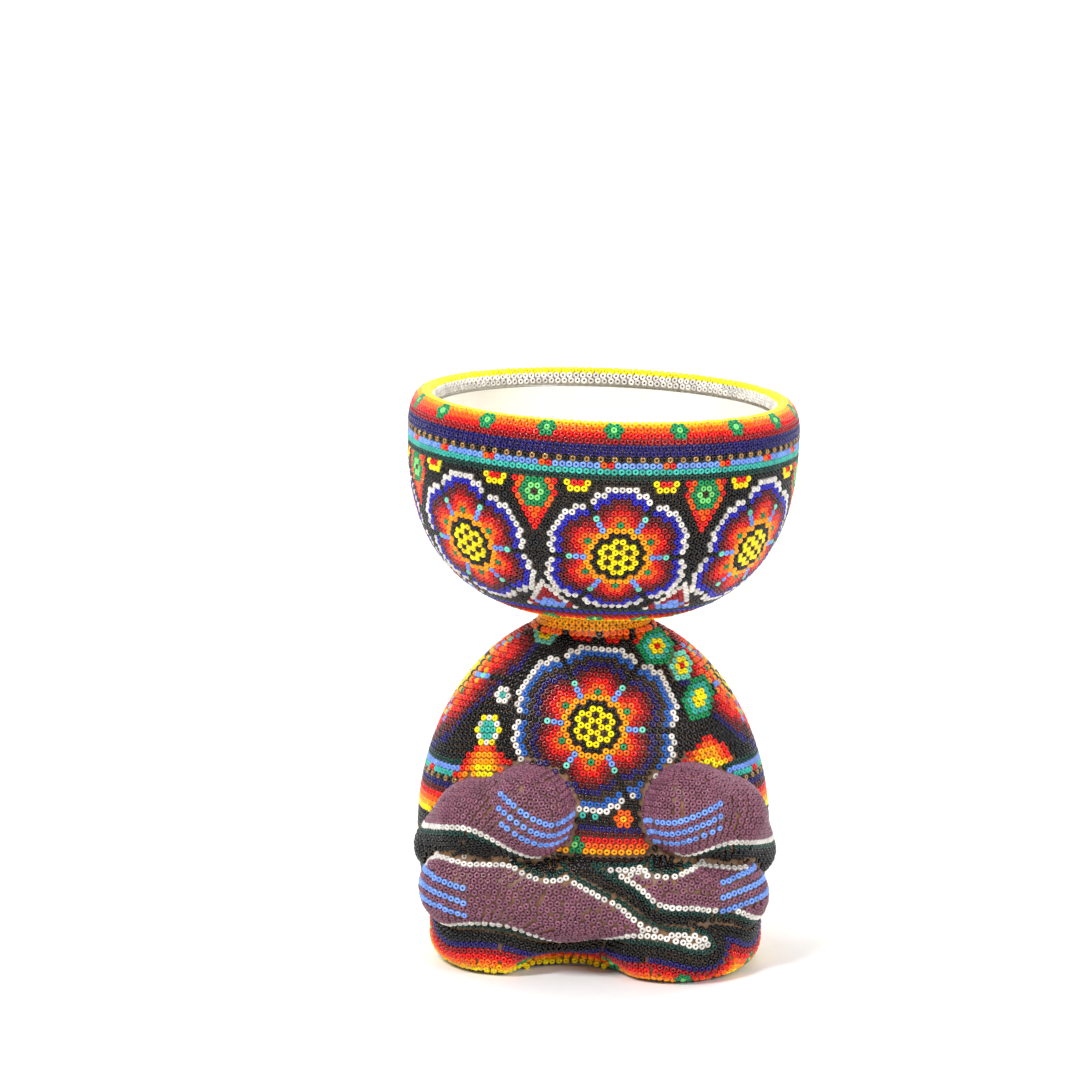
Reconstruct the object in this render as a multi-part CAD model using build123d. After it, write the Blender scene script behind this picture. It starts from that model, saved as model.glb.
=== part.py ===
from build123d import *
import math
import os

# Beaded seated figure that carries an open bowl in place of a head.
# Frame: millimetres, +Z up, the figure faces -Y, origin in the middle of the flat foot it stands on.
# Layers from the inside out: glazed ceramic casting, a coat of wax, one layer of glass seed beads.

# Bead work
BEAD_PITCH = 2.2
ROW_PITCH = BEAD_PITCH * math.sqrt(3) / 2
BEAD_LAYER = 1.6
WAX_COAT = 0.8
CASTING_INSET = BEAD_LAYER + WAX_COAT

# Bowl, measured over the beads, before it leans
BELLY_RADIUS = 62.6
BELLY_Z = 173.0
BOWL_DEPTH = 62.0
WALL_FULLNESS = 2.62
CREST_RADIUS = 57.5
CREST_Z = 182.4
MOUTH_RADIUS = 54.3
LIP_DROP = 3.6
LINING_DEPTH = 2.4
BOWL_LEAN = 2.0
BOWL_SHIFT = 1.0

# Glazed inside of the bowl
INSIDE_RADIUS = 54.8
FLOOR_Z = 120.0
INSIDE_FULLNESS = 2.4

# Bead rows of the bowl from the crest outwards and down: name, rows
RIM_BANDS = [
    ("bowl_rim_yellow_beads", 1),
    ("bowl_rim_orange_beads", 2),
    ("bowl_rim_red_beads", 2),
    ("bowl_rim_navy_beads", 2),
    ("bowl_rim_speckled_beads", 1),
    ("bowl_rim_light_blue_beads", 1),
    ("bowl_rim_turquoise_beads", 1),
    ("bowl_rim_green_beads", 1),
]
MEDALLION_ROWS = 27
UNDERSIDE_BANDS = [
    ("bowl_underside_blue_beads", 2),
    ("bowl_underside_red_beads", 3),
    ("bowl_underside_gold_beads", 3),
]
MEDALLION_COUNT = 7
MEDALLION_TURN = 5.0
MEDALLION_RADIUS = 24.4
MEDALLION_CENTRE_ROW = 24.0

# Body, measured over the beads
TRUNK_RADII = (57.0, 41.5, 72.0)
TRUNK_Y = 3.0
TRUNK_Z = 40.0
TRUNK_TOP = 107.5
KNEE_HEIGHT = 20.0
KNEE_ROUNDING = 8.0
FOOT_RADII = (30.0, 21.0)

# Rounded limbs: each is one or two tapers between two balls, as centre x, y, z and radius over the beads
HAND_LEFT = [
    ((-48.5, -14.0, 38.0, 9.4), (-38.5, -26.0, 49.0, 12.6)),
    ((-36.0, -27.5, 50.0, 10.5), (-21.5, -34.5, 55.0, 14.0)),
]
HAND_RIGHT = [
    ((49.3, -14.0, 36.5, 9.3), (42.0, -26.0, 50.0, 13.0)),
    ((40.0, -27.5, 50.5, 11.0), (30.0, -34.0, 55.5, 14.7)),
]
LEG_LEFT = [
    ((-42.5, -27.0, 27.5, 13.6), (-10.0, -34.5, 26.0, 14.0)),
    ((-15.0, -33.5, 26.0, 12.0), (34.0, -45.0, 14.5, 3.0)),
]
LEG_RIGHT = [
    ((43.5, -26.0, 26.5, 10.8), (23.0, -35.5, 30.0, 9.4)),
    ((26.0, -34.0, 29.5, 8.0), (-4.0, -40.0, 36.0, 4.0)),
]
JOIN_TOLERANCE = 0.01
SPLINTER = 1.0

LIMBS = [("hand_left", HAND_LEFT), ("hand_right", HAND_RIGHT), ("leg_left", LEG_LEFT), ("leg_right", LEG_RIGHT)]

# Knees: centre x, y and half widths
KNEES = [("knee_left", (-27.0, -9.0, 26.0, 31.0)), ("knee_right", (26.0, -12.0, 28.0, 38.0))]

# Arch under the crossed shins: centre x, y and half sizes
ARCH_CENTRE = (-9.0, -52.0)
ARCH_RADII = (22.0, 29.0, 9.5)

# Hollow of the body casting
HOLLOW_RADII = (46.0, 30.0, 58.0)
HOLLOW_FLOOR = 14.0
VENT_RADIUS = 4.0
VENT_Y = 12.0

# Bead fields of the trunk
MEDALLION_Z = 79.0
CHEST_MEDALLION_RADIUS = 26.0
COLLAR_Z = 99.0
CUFF_Z = (46.0, 63.0)
ARM_X = 31.0
SEAT_Z = 20.0

# Joint between the casting's neck and the bowl
PUTTY_RADIUS = 13.5
COLLAR_RADIUS = 18.0
NECK_SPAN = (TRUNK_TOP - CASTING_INSET, 116.0)


def write(name, shape):
    export_step(shape, f"parts/{name}.step")


# ---------------------------------------------------------------- bowl

def superellipse(radius, depth, fullness, steps):
    """Quarter outline from the widest point down to the axis, as (r, drop)."""
    power = 2 / fullness
    angles = [math.pi / 2 * i / steps for i in range(steps + 1)]
    outline = []
    for angle in angles:
        across = radius * max(math.cos(angle), 0.0) ** power
        drop = depth * math.sin(angle) ** power
        outline.append((across, drop))
    return outline


def arc_points(centre, radii, start, end, steps):
    points = []
    for i in range(steps + 1):
        angle = math.radians(start + (end - start) * i / steps)
        points.append((centre[0] + radii[0] * math.cos(angle), centre[1] + radii[1] * math.sin(angle)))
    return points


def bowl_outline():
    """Bead surface from inside the mouth, over the crest and down to the axis, as (r, z)."""
    lip_foot_z = CREST_Z - LIP_DROP
    lining = [(MOUTH_RADIUS, lip_foot_z - LINING_DEPTH)]
    inner = arc_points((CREST_RADIUS, lip_foot_z), (CREST_RADIUS - MOUTH_RADIUS, LIP_DROP), 180, 90, 40)
    outer = arc_points((CREST_RADIUS, BELLY_Z), (BELLY_RADIUS - CREST_RADIUS, CREST_Z - BELLY_Z), 90, 0, 60)
    wall = superellipse(BELLY_RADIUS, BOWL_DEPTH, WALL_FULLNESS, 400)
    below = [(r, BELLY_Z - drop) for r, drop in wall[1:]]
    return lining + inner + outer[1:] + below


OUTLINE = bowl_outline()
LENGTHS = [0.0]
for first, second in zip(OUTLINE, OUTLINE[1:]):
    LENGTHS.append(LENGTHS[-1] + math.dist(first, second))
CREST_LENGTH = LENGTHS[max(range(len(OUTLINE)), key=lambda i: OUTLINE[i][1])]


def surface_point(distance, inset=0.0):
    """Point of the bowl's outline at a length from the crest, moved inwards by inset."""
    target = min(max(CREST_LENGTH + distance, 0.0), LENGTHS[-1])
    index = max(i for i in range(len(LENGTHS) - 1) if LENGTHS[i] <= target)
    r0, z0 = OUTLINE[index]
    r1, z1 = OUTLINE[index + 1]
    span = LENGTHS[index + 1] - LENGTHS[index]
    part = (target - LENGTHS[index]) / span
    along = ((r1 - r0) / span, (z1 - z0) / span)
    normal = (-along[1], along[0])
    return Vector(r0 + (r1 - r0) * part - normal[0] * inset, 0, z0 + (z1 - z0) * part - normal[1] * inset)


def surface_normal(distance):
    return (surface_point(distance, -1.0) - surface_point(distance, 0.0)).normalized()


def outline_curve(start, end, inset):
    """Smooth curve along the outline between two lengths from the crest."""
    pieces = max(3, round(abs(end - start) / ROW_PITCH))
    points = [surface_point(start + (end - start) * i / pieces, inset) for i in range(pieces + 1)]
    return Spline(*points)


def bowl_shell(start, end, outer_inset, inner_inset):
    """Ring of the bowl's skin between two lengths from the crest."""
    outside = outline_curve(start, end, outer_inset)
    inside = outline_curve(start, end, inner_inset)
    section = make_face([outside, Line(outside @ 1, inside @ 1), inside, Line(outside @ 0, inside @ 0)])
    return revolve(section, Axis.Z)


def bowl_casting():
    """Glazed bowl with a rebate inside the mouth for the lining beads."""
    foot_length = LENGTHS[-1] - CREST_LENGTH
    outside = outline_curve(-CREST_LENGTH, foot_length - ROW_PITCH, CASTING_INSET)
    bottom = Vector(0, 0, BELLY_Z - BOWL_DEPTH + CASTING_INSET)
    rim_z = CREST_Z - LIP_DROP - LINING_DEPTH
    inside_outline = superellipse(INSIDE_RADIUS, rim_z - FLOOR_Z, INSIDE_FULLNESS, 24)
    inside = Spline(*[Vector(r, 0, rim_z - drop) for r, drop in inside_outline])
    edges = [outside, Line(outside @ 1, bottom), Line(bottom, inside @ 1), inside, Line(inside @ 0, outside @ 0)]
    return revolve(make_face(edges), Axis.Z)


def lean(shape):
    """Set the finished bowl on the body, slightly out of upright."""
    pivot = Pos(BOWL_SHIFT, 0, BELLY_Z - BOWL_DEPTH)
    return pivot * Rot(0, BOWL_LEAN, 0) * Pos(0, 0, BOWL_DEPTH - BELLY_Z) * shape


def medallion_angle(index):
    return -90 + MEDALLION_TURN + index * 360 / MEDALLION_COUNT


def medallion_cutter(index):
    """Round cutter square to the bowl's wall, centred on one medallion."""
    centre_length = MEDALLION_CENTRE_ROW * ROW_PITCH
    plane = Plane(origin=surface_point(centre_length), z_dir=surface_normal(centre_length))
    cutter = plane * Cylinder(MEDALLION_RADIUS, 30)
    return Rot(0, 0, medallion_angle(index)) * cutter


def bead_bands():
    """Every ring of beads on the bowl that isn't cut by a medallion, and the ring that is."""
    bands = {"bowl_mouth_white_beads": bowl_shell(-CREST_LENGTH, -ROW_PITCH * 1.5, 0, BEAD_LAYER)}
    start = -ROW_PITCH * 1.5
    for name, rows in RIM_BANDS:
        end = max(start, -ROW_PITCH / 2) + rows * ROW_PITCH
        bands[name] = bowl_shell(start, end, 0, BEAD_LAYER)
        start = end
    end = start + MEDALLION_ROWS * ROW_PITCH
    field = bowl_shell(start, end, 0, BEAD_LAYER)
    start = end
    for name, rows in UNDERSIDE_BANDS:
        end = start + rows * ROW_PITCH
        bands[name] = bowl_shell(start, end, 0, BEAD_LAYER)
        start = end
    return bands, field, end


def make_bowl():
    bands, field, skin_end = bead_bands()
    parts = {"bowl_casting": bowl_casting()}
    parts["bowl_wax"] = bowl_shell(-CREST_LENGTH, skin_end, BEAD_LAYER, CASTING_INSET)
    parts.update(bands)
    cutters = [medallion_cutter(i) for i in range(MEDALLION_COUNT)]
    for index, cutter in enumerate(cutters):
        parts[f"bowl_medallion_{index + 1}_beads"] = field & cutter
    parts["bowl_ground_beads"] = field - cutters
    return {name: lean(shape) for name, shape in parts.items()}


# ---------------------------------------------------------------- body

def ellipsoid(centre, radii, inset=0.0):
    ball = scale(Sphere(1), by=tuple(radius - inset for radius in radii))
    return Pos(*centre) * ball


def tapered_limb(ball_a, ball_b, inset):
    """Two balls and the cone that touches both, turned as one solid."""
    start = Vector(*ball_a[:3])
    end = Vector(*ball_b[:3])
    radius_a = ball_a[3] - inset
    radius_b = ball_b[3] - inset
    length = (end - start).length
    tilt = math.asin((radius_a - radius_b) / length)
    touch_a = Vector(radius_a * math.sin(tilt), radius_a * math.cos(tilt))
    touch_b = Vector(length + radius_b * math.sin(tilt), radius_b * math.cos(tilt))
    halfway_a = math.radians(180 + math.degrees(math.pi / 2 - tilt)) / 2
    halfway_b = (math.pi / 2 - tilt) / 2
    middle_a = Vector(radius_a * math.cos(halfway_a), radius_a * math.sin(halfway_a))
    middle_b = Vector(length + radius_b * math.cos(halfway_b), radius_b * math.sin(halfway_b))
    tip_a = Vector(-radius_a, 0)
    tip_b = Vector(length + radius_b, 0)
    edges = [
        ThreePointArc(tip_a, middle_a, touch_a),
        Line(touch_a, touch_b),
        ThreePointArc(touch_b, middle_b, tip_b),
        Line(tip_b, tip_a),
    ]
    spindle = revolve(make_face(edges), Axis.X)
    direction = (end - start).normalized()
    across = direction.cross(Vector(0, 0, 1)).normalized()
    return Plane(origin=start, x_dir=direction, z_dir=across) * spindle


def join(shape, others):
    """Union of solids whose round surfaces nearly touch, so it is given a small tolerance."""
    for other in others:
        shape = shape.fuse(other, tol=JOIN_TOLERANCE).solid()
    return shape


def limb_pieces(tapers, inset):
    return [tapered_limb(ball_a, ball_b, inset).solid() for ball_a, ball_b in tapers]


def knee(x, y, half_x, half_y, inset):
    """Rounded cushion of the base, raised off the floor by the inset."""
    outline = Ellipse(half_x - inset, half_y - inset)
    block = extrude(outline, KNEE_HEIGHT - 2 * inset)
    rims = block.edges().filter_by(GeomType.ELLIPSE)
    return Pos(x, y, inset) * fillet(rims, KNEE_ROUNDING - inset)


def arch(inset):
    return ellipsoid((*ARCH_CENTRE, 0), ARCH_RADII, -inset)


def trunk(inset):
    """Bell-shaped trunk with the arms and the seat, flat at the neck and at the floor."""
    bell = ellipsoid((0, TRUNK_Y, TRUNK_Z), TRUNK_RADII, inset)
    height = TRUNK_TOP - 2 * inset
    slab = Pos(0, 0, inset + height / 2) * Box(200, 200, height)
    return bell & slab


def body(inset):
    """The whole body as one solid, with everything moved inwards by the inset."""
    pieces = [knee(*spot, inset).solid() for _, spot in KNEES]
    for _, tapers in LIMBS:
        pieces += limb_pieces(tapers, inset)
    return join(trunk(inset).solid(), pieces) - arch(inset)


def foot_pad():
    """Bare flat foot of the casting, which is what the figure stands on."""
    return extrude(Ellipse(*FOOT_RADII), CASTING_INSET)


def neck_column():
    """Space of the joint, from the casting's flat neck up into the bowl's foot."""
    low, high = NECK_SPAN
    return Pos(0, 0, (low + high) / 2) * Cylinder(PUTTY_RADIUS, high - low)


def grouped(shapes):
    """One group of all the solids in the shapes, without any splinter that a cut leaves."""
    solids = [solid for shape in shapes for solid in shape.solids()]
    return Compound([solid for solid in solids if solid.volume > SPLINTER])


def carve(shape, tools):
    """Cut every tool that reaches the shape out of it."""
    for tool in tools:
        if shape.bounding_box().overlaps(tool.bounding_box()):
            shape = shape - tool
    return shape


def fields_of_limbs(wax_surface):
    """Bead layers of the hands, legs and knees, each cut back by those that lie over it."""
    pieces = []
    for name, tapers in LIMBS:
        pieces += [(name, piece) for piece in limb_pieces(tapers, 0)]
    pieces += [(name, knee(*spot, 0).solid()) for name, spot in KNEES]
    fields = {}
    above = []
    for name, piece in pieces:
        field = carve(piece, [wax_surface, arch(0), foot_pad()] + above)
        fields.setdefault(name, []).append(field)
        above.append(piece)
    return {f"{name}_beads": grouped(solids) for name, solids in fields.items()}, above


def side_block(side, low, high):
    """Everything of the trunk outside one arm's inner edge, between two heights."""
    width = 60
    return Pos(side * (ARM_X + width / 2), 0, (low + high) / 2) * Box(width, 200, high - low)


def trunk_cutters():
    """Cutters that divide the trunk's bead layer into its fields, in the order they are taken."""
    disc = Cylinder(CHEST_MEDALLION_RADIUS, 50)
    front = Pos(0, TRUNK_Y - TRUNK_RADII[1], MEDALLION_Z) * Rot(90, 0, 0) * disc
    back = Pos(0, TRUNK_Y + TRUNK_RADII[1], MEDALLION_Z) * Rot(90, 0, 0) * disc
    return [
        ("neck_collar_beads", Pos(0, 0, COLLAR_Z + 20) * Box(200, 200, 40)),
        ("chest_medallion_beads", front),
        ("back_medallion_beads", back),
        ("cuff_left_beads", side_block(-1, *CUFF_Z)),
        ("cuff_right_beads", side_block(1, *CUFF_Z)),
        ("sleeve_left_beads", side_block(-1, CUFF_Z[1], COLLAR_Z)),
        ("sleeve_right_beads", side_block(1, CUFF_Z[1], COLLAR_Z)),
        ("seat_beads", Pos(0, 0, SEAT_Z - 50) * Box(200, 200, 100)),
        ("chest_ground_beads", Pos(0, -50, 0) * Box(200, 100, 300)),
    ]


def fields_of_trunk(wax_surface, above):
    """The trunk's bead layer, divided into its fields."""
    remaining = carve(trunk(0), [wax_surface, arch(0), foot_pad(), neck_column()] + above)
    parts = {}
    for name, cutter in trunk_cutters():
        parts[name] = remaining & cutter
        remaining = remaining - cutter
    parts["back_ground_beads"] = remaining
    return parts


def body_casting(solid):
    """Slip-cast body with a bare flat foot, a hollow and a vent through the foot."""
    hollow = ellipsoid((0, TRUNK_Y, TRUNK_Z), HOLLOW_RADII) & (Pos(0, 0, HOLLOW_FLOOR + 100) * Box(200, 200, 200))
    vent = Pos(0, VENT_Y, 0) * Cylinder(VENT_RADIUS, 4 * HOLLOW_FLOOR)
    return solid + foot_pad() - hollow - vent


def make_body():
    casting = body(CASTING_INSET)
    wax_surface = body(BEAD_LAYER)
    parts = {"body_casting": body_casting(casting)}
    parts["body_wax"] = wax_surface - casting - foot_pad() - neck_column()
    limb_fields, above = fields_of_limbs(wax_surface)
    parts.update(limb_fields)
    parts.update(fields_of_trunk(wax_surface, above))
    return parts


def make_neck(bowl):
    """Putty that beds the bowl on the body's neck, and the ring of beads that hides it."""
    low, high = NECK_SPAN
    ring = Pos(0, 0, (low + high) / 2) * Cylinder(COLLAR_RADIUS, high - low) - neck_column()
    ring = ring - trunk(0)
    for name in ("bowl_casting", "bowl_wax", "bowl_underside_gold_beads"):
        ring = ring - bowl[name]
    return {"neck_putty": neck_column() - bowl["bowl_casting"], "neck_ring_beads": ring}


def main():
    os.makedirs("parts", exist_ok=True)
    bowl = make_bowl()
    parts = {**make_body(), **make_neck(bowl), **bowl}
    for name, shape in parts.items():
        write(name, shape)


main()
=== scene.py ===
import math
from functools import cache
from itertools import product

import bpy
import numpy as np
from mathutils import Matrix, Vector
from mathutils.kdtree import KDTree


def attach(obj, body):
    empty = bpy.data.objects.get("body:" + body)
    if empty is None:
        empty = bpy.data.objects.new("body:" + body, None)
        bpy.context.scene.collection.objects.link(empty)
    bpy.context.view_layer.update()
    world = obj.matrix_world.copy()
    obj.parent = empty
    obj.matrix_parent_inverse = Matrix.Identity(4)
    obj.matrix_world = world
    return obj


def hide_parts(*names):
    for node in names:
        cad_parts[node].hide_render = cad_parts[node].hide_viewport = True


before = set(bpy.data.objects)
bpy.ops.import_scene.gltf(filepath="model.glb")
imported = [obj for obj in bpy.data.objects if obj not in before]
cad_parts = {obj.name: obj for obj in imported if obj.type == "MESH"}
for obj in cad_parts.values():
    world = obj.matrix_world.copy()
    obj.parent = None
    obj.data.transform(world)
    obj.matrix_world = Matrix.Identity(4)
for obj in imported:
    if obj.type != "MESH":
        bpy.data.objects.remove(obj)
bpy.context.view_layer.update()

# A seated figure covered in glass seed beads pressed into wax, with an open beaded bowl for its head.
# Lengths are millimetres until a mesh is written, and the frame is the CAD model's own. The camera, the
# lights and the bump depths are in metres.

MM = 0.001

# Bead work: beads 2.2 mm apart in rows that are laid like bricks
PITCH = 2.2
ROW = PITCH * math.sqrt(3) / 2
BEAD_RADIUS = 1.09
BEAD_HOLE = 0.32
BEAD_HALF_HEIGHT = 0.72
SEGMENTS = 12
MOST_BEADS = 1100       # in one mesh, so that no mesh is too large for the export
TIP, WANDER = 0.045, 0.035      # spread of each bead's tilt, and of its place in mm
SIZE_SPREAD, SIZE_RANGE = 0.018, (-0.04, 0.03)

# Depths under the beads' outer surface
BEAD_DEPTH = 0.66
WAX_DEPTH = 0.86
CASTING_DEPTH = 2.4

# Limits of the body's bead coat
FLOOR_LEVEL = 0.9       # lowest place for the middle of a bead
TOP_LEVEL = 107.5       # flat top of the body, under the bowl

# Bead colours, each in its usual glass: letter, sRGB colour, roughness, metal
GLASS = {
    "W": ("white", (214, 209, 202), 0.20, 0.0),
    "Y": ("yellow", (255, 224, 0), 0.18, 0.0),
    "D": ("golden", (255, 158, 0), 0.18, 0.0),
    "O": ("orange", (246, 92, 8), 0.18, 0.0),
    "R": ("red", (214, 18, 12), 0.18, 0.0),
    "C": ("crimson", (146, 8, 20), 0.18, 0.0),
    "M": ("maroon", (84, 12, 18), 0.18, 0.0),
    "N": ("navy", (26, 18, 92), 0.18, 0.0),
    "B": ("blue", (28, 26, 168), 0.18, 0.0),
    "A": ("azure", (32, 92, 176), 0.20, 0.0),
    "P": ("light_blue", (112, 150, 226), 0.22, 0.0),
    "T": ("turquoise", (52, 172, 156), 0.20, 0.0),
    "L": ("pale_turquoise", (112, 208, 182), 0.20, 0.0),
    "G": ("green", (0, 134, 76), 0.20, 0.0),
    "g": ("light_green", (120, 212, 116), 0.22, 0.0),
    "E": ("dark_green", (8, 52, 44), 0.20, 0.0),
    "K": ("black", (10, 9, 10), 0.16, 0.0),
    "Z": ("bronze", (66, 54, 46), 0.24, 0.55),
    "S": ("gold_lined", (168, 132, 84), 0.24, 0.7),
    "V": ("mauve", (122, 74, 92), 0.24, 0.0),
    "H": ("grey", (134, 132, 132), 0.22, 0.0),
}
TINTS = {"pale": 1.16, "plain": 1.0, "deep": 0.84}
TINT_SHARES = [0.25, 0.5, 0.25]


def linear(value):
    value = value / 255
    return value / 12.92 if value <= 0.04045 else ((value + 0.055) / 1.055) ** 2.4


def arc_lengths(x, y):
    """Length along a plane curve at each of its points."""
    return np.concatenate([[0], np.cumsum(np.hypot(np.diff(x), np.diff(y)))])


def colour_of(rgb, factor=1.0):
    return tuple(min(1.0, linear(c) * factor) for c in rgb) + (1.0,)


# ---------------------------------------------------------------- camera

# A long lens from just over the bowl's mouth, fitted to the photograph
CAMERA_PLACE = (-0.0173, -1.675, 0.4363)
CAMERA_FALL = math.radians(10.2)
CAMERA_LENS = 176.67

camera_data = bpy.data.cameras.new("camera")
camera_data.sensor_width = 36.0
camera_data.lens = CAMERA_LENS
camera = bpy.data.objects.new("camera", camera_data)
camera.location = CAMERA_PLACE
camera.rotation_euler = (math.radians(90) - CAMERA_FALL, 0, 0)
bpy.context.scene.collection.objects.link(camera)
bpy.context.scene.camera = camera


# ---------------------------------------------------------------- materials

def new_material(name):
    material = bpy.data.materials.new(name)
    material.use_nodes = True
    shader = material.node_tree.nodes["Principled BSDF"]
    return material, material.node_tree, shader


def add_noise(tree, scale, detail):
    coords = tree.nodes.new("ShaderNodeTexCoord")
    noise = tree.nodes.new("ShaderNodeTexNoise")
    noise.inputs["Scale"].default_value = scale
    noise.inputs["Detail"].default_value = detail
    tree.links.new(coords.outputs["Object"], noise.inputs["Vector"])
    return noise


def drive(tree, noise, kind, entry, out, socket, **values):
    """Let the noise drive a shader socket through a node of this kind."""
    node = tree.nodes.new(kind)
    for name, value in values.items():
        node.inputs[name].default_value = value
    tree.links.new(noise.outputs["Fac"], node.inputs[entry])
    tree.links.new(node.outputs[out], socket)
    return node


def rough_from(tree, shader, noise, low, high):
    limits = {"To Min": low, "To Max": high}
    drive(tree, noise, "ShaderNodeMapRange", "Value", "Result", shader.inputs["Roughness"], **limits)


def bump_from(tree, shader, noise, strength, distance):
    drive(tree, noise, "ShaderNodeBump", "Height", "Normal", shader.inputs["Normal"],
          Strength=strength, Distance=distance)


def colours_from(tree, shader, noise, stops):
    """Let the noise run between two sRGB colours."""
    ramp = drive(tree, noise, "ShaderNodeValToRGB", "Fac", "Color", shader.inputs["Base Color"])
    for element, position, rgb in zip(ramp.color_ramp.elements, (0.3, 0.7), stops):
        element.position = position
        element.color = colour_of(rgb)


@cache
def glass(letter, tint):
    """Glossy seed-bead glass with the faint orange-peel and dull spots of pressed glass."""
    name, rgb, roughness, metal = GLASS[letter]
    material, tree, shader = new_material(f"{name}_glass_{tint}")
    shader.inputs["Base Color"].default_value = colour_of(rgb, TINTS[tint])
    shader.inputs["Metallic"].default_value = metal
    shader.inputs["IOR"].default_value = 1.5
    shader.inputs["Specular IOR Level"].default_value = 0.36
    shader.inputs["Coat Weight"].default_value = 0.12
    shader.inputs["Coat Roughness"].default_value = 0.05
    noise = add_noise(tree, 900.0, 3.0)
    rough_from(tree, shader, noise, roughness - 0.08, roughness + 0.08)
    bump_from(tree, shader, noise, 0.12, 0.00012)
    return material


# Materials with a mottled colour: noise scale and detail, two colours, roughness range, bump and depth
MOTTLED = {
    # The wax's two browns are its own colour made darker to stand for the shade between the beads:
    # partly real wax, partly painted shade.
    "beeswax_and_painted_shade": (420.0, 5.0, [(74, 48, 26), (134, 96, 56)], (0.38, 0.62), (0.5, 0.0004)),
    "white_glaze": (38.0, 4.0, [(224, 219, 206), (236, 232, 222)], (0.12, 0.26), (0.08, 0.0008)),
    "bisque_ceramic": (260.0, 6.0, [(206, 192, 168), (228, 216, 196)], (0.62, 0.85), (0.35, 0.0004)),
    "putty": (120.0, 5.0, [(150, 140, 124), (184, 174, 156)], (0.5, 0.75), (0.45, 0.0007)),
    "floor_paint": (220.0, 2.0, [(236, 235, 233), (239, 238, 236)], (0.55, 0.7), None),
}
GLAZE_COAT = 0.3, 0.1       # weight and roughness of the clear layer on the glaze


def mottled(name):
    """Wax, its browns partly darkened as painted shade between the beads; glaze, bare clay, putty or
    floor paint.
    """
    scale, detail, stops, rough, bump = MOTTLED[name]
    material, tree, shader = new_material(name)
    noise = add_noise(tree, scale, detail)
    colours_from(tree, shader, noise, stops)
    rough_from(tree, shader, noise, *rough)
    if bump:
        bump_from(tree, shader, noise, *bump)
    if name == "white_glaze":
        shader.inputs["Coat Weight"].default_value = GLAZE_COAT[0]
        shader.inputs["Coat Roughness"].default_value = GLAZE_COAT[1]
    return material


# ---------------------------------------------------------------- meshes

def mesh_object(name, points, faces, materials, indices=None):
    """Smooth mesh object from arrays in millimetres; faces is an array of quads."""
    points = np.asarray(points, float) * MM
    faces = np.asarray(faces, int)
    mesh = bpy.data.meshes.new(name)
    mesh.vertices.add(len(points))
    mesh.vertices.foreach_set("co", points.ravel())
    mesh.loops.add(faces.size)
    mesh.loops.foreach_set("vertex_index", faces.ravel())
    mesh.polygons.add(len(faces))
    mesh.polygons.foreach_set("loop_start", np.arange(len(faces)) * faces.shape[1])
    for material in materials:
        mesh.materials.append(material)
    if indices is not None:
        mesh.polygons.foreach_set("material_index", indices)
    mesh.update(calc_edges=True)
    mesh.validate()
    mesh.shade_smooth()
    made = bpy.data.objects.new(name, mesh)
    bpy.context.scene.collection.objects.link(made)
    return made


def revolved(section, steps):
    """Closed ring mesh turned from a closed section of (r, z)."""
    points = []
    for i in range(steps):
        turn = 2 * math.pi * i / steps
        points += [(r * math.cos(turn), r * math.sin(turn), z) for r, z in section]
    count = len(section)
    faces = []
    for i in range(steps):
        following = (i + 1) % steps
        for j in range(count):
            k = (j + 1) % count
            faces.append((i * count + j, following * count + j, following * count + k, i * count + k))
    return np.array(points), np.array(faces)


def bead_template():
    """One bead, its hole along z, as a closed ring of quads."""
    half = BEAD_HALF_HEIGHT
    mid = (BEAD_RADIUS + BEAD_HOLE) / 2
    profile = [
        (BEAD_HOLE, 0.0),
        (BEAD_HOLE + 0.08, half * 0.75),
        (mid, half),
        (BEAD_RADIUS - 0.10, half * 0.62),
        (BEAD_RADIUS, 0.0),
        (BEAD_RADIUS - 0.12, -half * 0.7),
        (mid - 0.1, -half),
    ]
    points, faces = revolved(profile, SEGMENTS)
    return points, np.roll(faces, -1, axis=1)


BEAD_POINTS, BEAD_FACES = bead_template()


def bead_axes(normals, rng):
    """Turn of each bead: its hole along the normal, tipped a few degrees as hand-set beads are."""
    tipped = normals + rng.normal(0, TIP, normals.shape)
    tipped /= np.linalg.norm(tipped, axis=1)[:, None]
    upright = np.abs(tipped[:, 2:3]) < 0.9
    helper = np.where(upright, np.array([[0.0, 0.0, 1.0]]), np.array([[1.0, 0.0, 0.0]]))
    across = np.cross(helper, tipped)
    across /= np.linalg.norm(across, axis=1)[:, None]
    spin = rng.uniform(0, 2 * math.pi, len(normals))[:, None]
    along = np.cross(tipped, across)
    turned = across * np.cos(spin) + along * np.sin(spin)
    return turned, np.cross(tipped, turned), tipped


def bead_object(name, centres, normals, letters):
    """One mesh of many beads, with the glass of each bead in one of its three tints."""
    rng = np.random.default_rng(sum(map(ord, name)))
    centres = np.asarray(centres, float) + rng.normal(0, WANDER, (len(centres), 3))
    normals = np.asarray(normals, float)
    across, along, out = bead_axes(normals, rng)
    size = 1 + rng.normal(0, SIZE_SPREAD, (len(centres), 1, 1)).clip(*SIZE_RANGE)
    local = BEAD_POINTS[None, :, :] * size
    points = centres[:, None, :] + local[:, :, 0:1] * across[:, None]
    points = points + local[:, :, 1:2] * along[:, None]
    points = points + local[:, :, 2:3] * out[:, None]
    starts = np.arange(len(centres)) * len(BEAD_POINTS)
    faces = (BEAD_FACES[None] + starts[:, None, None]).reshape(-1, 4)
    tints = rng.choice(list(TINTS), len(centres), p=TINT_SHARES)
    kinds = sorted(set(zip(letters, tints)))
    place = {kind: i for i, kind in enumerate(kinds)}
    indices = np.repeat([place[kind] for kind in zip(letters, tints)], len(BEAD_FACES))
    materials = [glass(*kind) for kind in kinds]
    return mesh_object(name, points.reshape(-1, 3), faces, materials, indices.astype(np.int32))


def finish_piece(piece, node):
    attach(piece, "root")
    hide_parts(node)


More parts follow.
